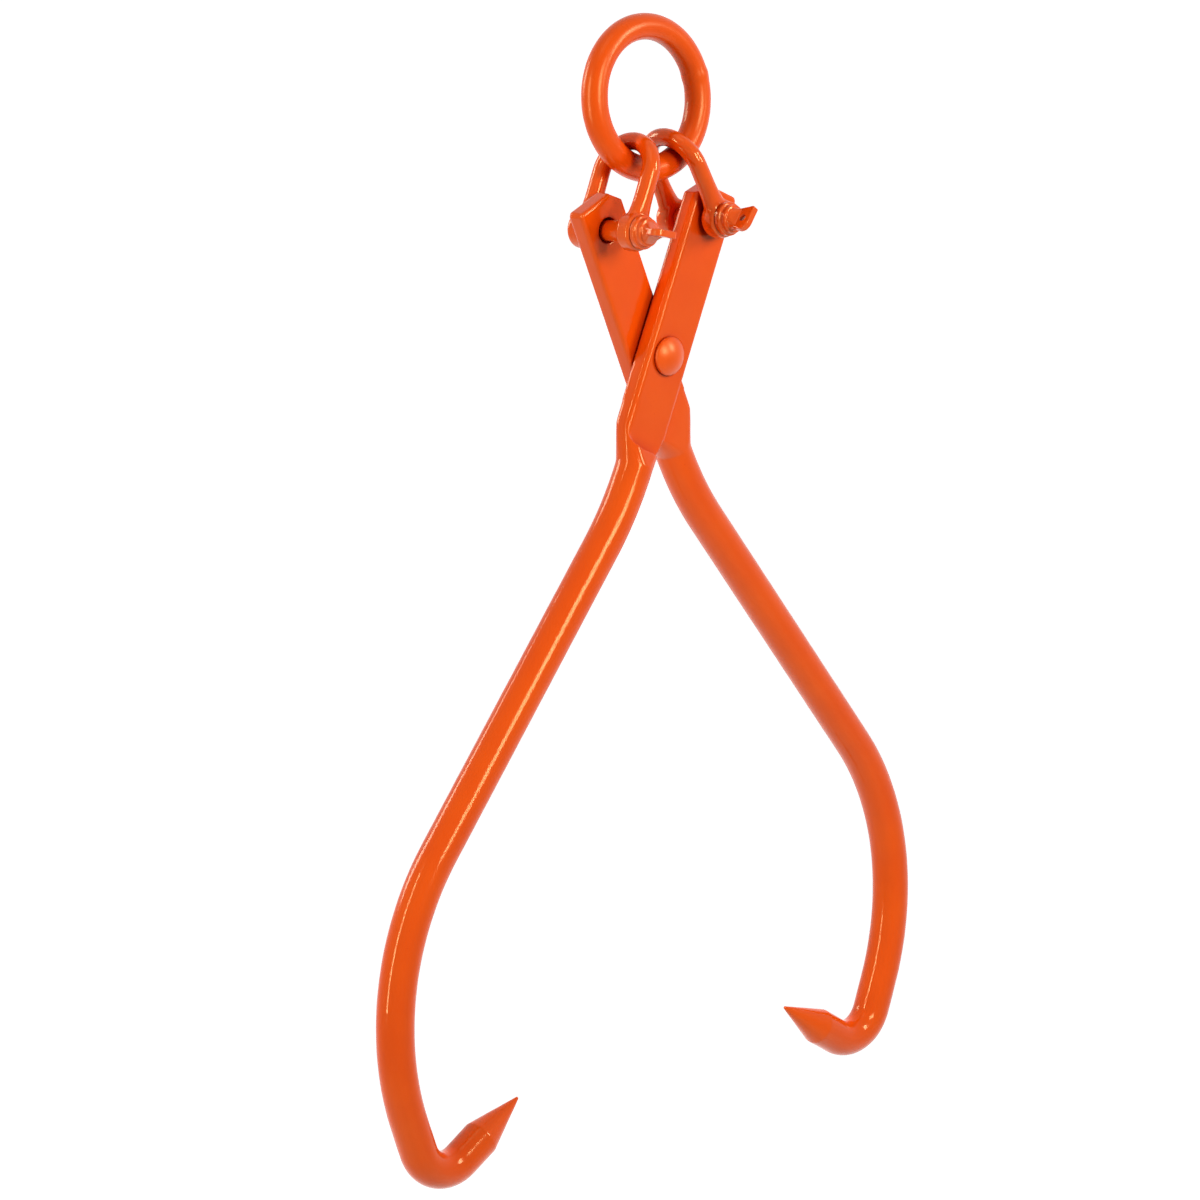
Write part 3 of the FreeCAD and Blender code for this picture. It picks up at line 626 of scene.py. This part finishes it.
def makeRivet():
    r = rivet
    shank = r["shank"] / 2
    head = r["head"] / 2
    rise = r["height"] - r["edge"]
    ball = (head ** 2 + rise ** 2) / (2 * rise)
    spread = math.asin(head / ball)
    clearPick()
    bpy.ops.mesh.primitive_circle_add(vertices=r["sides"], radius=shank, fill_type="NGON",
                                      rotation=(math.pi / 2, 0, 0))
    piece = bpy.context.object
    fixPlace(piece)
    openMesh(piece)
    bpy.ops.mesh.select_all(action="SELECT")
    bpy.ops.mesh.delete(type="ONLY_FACE")
    for way, reach in ((-1, r["front"]), (1, r["back"])):
        ringAt = 0.0
        wide = shank
        stops = [(reach, shank), (reach, head - r["lipIn"]), (reach + r["lipUp"], head)]
        stops.append((reach + r["edge"], head))
        for i in range(1, r["rings"]):
            turned = spread * (1 - i / r["rings"])
            stops.append((reach + r["height"] - ball + ball * math.cos(turned), ball * math.sin(turned)))
        pickVerts(piece, lambda v: abs(v.y) < hair)
        for at, radius in stops:
            share = radius / wide
            bpy.ops.mesh.extrude_edges_move(TRANSFORM_OT_translate={"value": (0, way * (at - ringAt), 0)})
            bpy.ops.transform.resize(value=(share, 1, share), center_override=(0, way * at, 0))
            ringAt = at
            wide = radius
        bpy.ops.mesh.edge_face_add()
    bpy.ops.mesh.select_all(action="SELECT")
    bpy.ops.mesh.normals_make_consistent(inside=False)
    closeMesh()
    return piece


setDown(makeRivet(), "pivotRivetHeads", Matrix.Translation(pivotPoint),
        "back_arm", "pivot_rivet", rivetPaint)


# lifting ring: bent from round bar, its weld ground back on the right limb

ring = {
    "middle": 40.6, "rod": 15.4, "steps": 180, "sides": 48, "tilt": 6.0, "angle": -1.7,
    "weldAt": 14.0, "weldProud": 0.35, "weldWide": 5.0, "weldBead": 1.2,
    "skinDepth": 0.14, "skinScale": 12.0,
}


def makeRing():
    g = ring
    clearPick()
    bpy.ops.mesh.primitive_torus_add(major_segments=g["steps"], minor_segments=g["sides"],
                                     major_radius=g["middle"], minor_radius=g["rod"] / 2,
                                     rotation=(math.pi / 2, 0, 0))
    piece = bpy.context.object
    fixPlace(piece)
    openMesh(piece)
    at = math.radians(g["weldAt"])
    seat = Vector((math.cos(at), 0, math.sin(at))) * g["middle"]
    along = Vector((-math.sin(at), 0, math.cos(at)))
    pickVerts(piece, lambda v: (v - seat).dot(along) ** 2 < g["weldBead"] and v.dot(seat) > 0)
    bpy.ops.transform.shrink_fatten(value=g["weldProud"], use_proportional_edit=True,
                                    proportional_edit_falloff="SMOOTH", proportional_size=g["weldWide"])
    closeMesh()
    unevenSkin(piece, g["skinDepth"], g["skinScale"])
    return piece


ringLow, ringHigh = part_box("lifting_ring")
ringMiddle = Matrix.Translation((ringLow + ringHigh) / 2)
ringPlace = ringMiddle @ turn("Z", ring["angle"]) @ turn("X", -ring["tilt"])
setDown(makeRing(), "liftingRingBar", ringPlace, "ring", "lifting_ring", ringPaint)
print("pieces modelled")


# studio

studio = {
    "camera": (-2.35471, -2.29974, 0.51647), "azimuth": -45.1348, "elevation": 11.3451, "roll": -0.2078,
    "lens": 174.132, "sensor": 36.0, "farEnd": 50.0,
    "floorSize": 60.0, "floorDrop": 1.0, "floorLift": 0.95, "floorRough": 0.9,
    "floorTone": (0.8, 0.8, 0.8, 1),
    "white": (1, 1, 1, 1), "worldLight": 0.06, "lampReach": 2.0, "lampAim": (0, 0, -0.05),
}
lamps = {
    "keySoftbox": {"azimuth": -3, "elevation": 20, "size": (0.52, 0.7), "power": 21.5},
    "rightSoftbox": {"azimuth": 34, "elevation": 24, "size": (0.34, 0.7), "power": 16},
    "leftStrip": {"azimuth": -95, "elevation": 10, "size": (0.15, 1.8), "power": 23.5},
    "topSoftbox": {"azimuth": -60, "elevation": 70, "size": (0.8, 0.8), "power": 2},
    "backSoftbox": {"azimuth": 132, "elevation": 20, "size": (0.6, 0.8), "power": 26, "gleams": False},
    "backFill": {"azimuth": -155, "elevation": 20, "size": (0.5, 0.8), "power": 12},
}


def addCamera():
    data = bpy.data.cameras.new("studioCamera")
    data.sensor_width = studio["sensor"]
    data.sensor_fit = "HORIZONTAL"
    data.lens = studio["lens"]
    data.clip_end = studio["farEnd"]
    camera = bpy.data.objects.new("studioCamera", data)
    bpy.context.scene.collection.objects.link(camera)
    place = Matrix.Translation(pivotPoint + Vector(studio["camera"]))
    aim = turn("Z", studio["azimuth"]) @ turn("X", 90 - studio["elevation"]) @ turn("Z", studio["roll"])
    camera.matrix_world = place @ aim
    bpy.context.scene.camera = camera


def addLamp(name, azimuth, elevation, size, power, gleams=True):
    data = bpy.data.lights.new(name, "AREA")
    data.shape = "RECTANGLE"
    data.size = size[0]
    data.size_y = size[1]
    data.energy = power
    lamp = bpy.data.objects.new(name, data)
    bpy.context.scene.collection.objects.link(lamp)
    lamp.visible_glossy = gleams  # glare from behind would burn the rims
    lit = Matrix.Translation(pivotPoint + Vector(studio["lampAim"]))
    aim = turn("Z", azimuth) @ turn("X", 90 - elevation)
    lamp.matrix_world = lit @ aim @ Matrix.Translation((0, 0, studio["lampReach"]))


def seenDirectly(tree):  # 1 where the camera, gloss and glass look
    path = addNode(tree, "LightPath", {}, {})
    seen = path["Is Camera Ray"]
    for name in ("Is Glossy Ray", "Is Transmission Ray"):
        seen = combine(tree, "MAXIMUM", seen, path[name])
    return seen


def addWorld():
    world = bpy.data.worlds.new("studioWorld")
    bpy.context.scene.world = world
    world.use_nodes = True
    tree = world.node_tree
    plain = tree.nodes["Background"]
    plain.inputs["Color"].default_value = studio["white"]
    plain.inputs["Strength"].default_value = studio["worldLight"]
    white = addNode(tree, "Background", {"Color": studio["white"]}, {})["Background"]
    mix = addNode(tree, "MixShader", {},
                  {"Fac": seenDirectly(tree), 1: plain.outputs["Background"], 2: white})
    link(tree, mix["Shader"], tree.nodes["World Output"].inputs["Surface"])


def addFloor():
    clearPick()
    level = cadBox[0][2] - studio["floorDrop"]
    bpy.ops.mesh.primitive_plane_add(size=studio["floorSize"], location=(0, 0, level))
    floor = bpy.context.object
    floor.name = "studioFloor"
    pale = bpy.data.materials.new("paleFloor")
    pale.use_nodes = True
    tree = pale.node_tree
    shader = tree.nodes["Principled BSDF"].inputs
    shader["Base Color"].default_value = studio["floorTone"]
    shader["Roughness"].default_value = studio["floorRough"]
    shader["Emission Color"].default_value = studio["white"]
    lift = addNode(tree, "Math", {1: studio["floorLift"]}, {0: seenDirectly(tree)}, operation="MULTIPLY")
    link(tree, lift["Value"], shader["Emission Strength"])  # white to look at, and still takes the shadow
    floor.data.materials.append(pale)


addCamera()
addWorld()
addFloor()
for name, settings in lamps.items():
    addLamp(name, **settings)
bpy.context.scene.view_settings.view_transform = "Standard"
print("studio set")
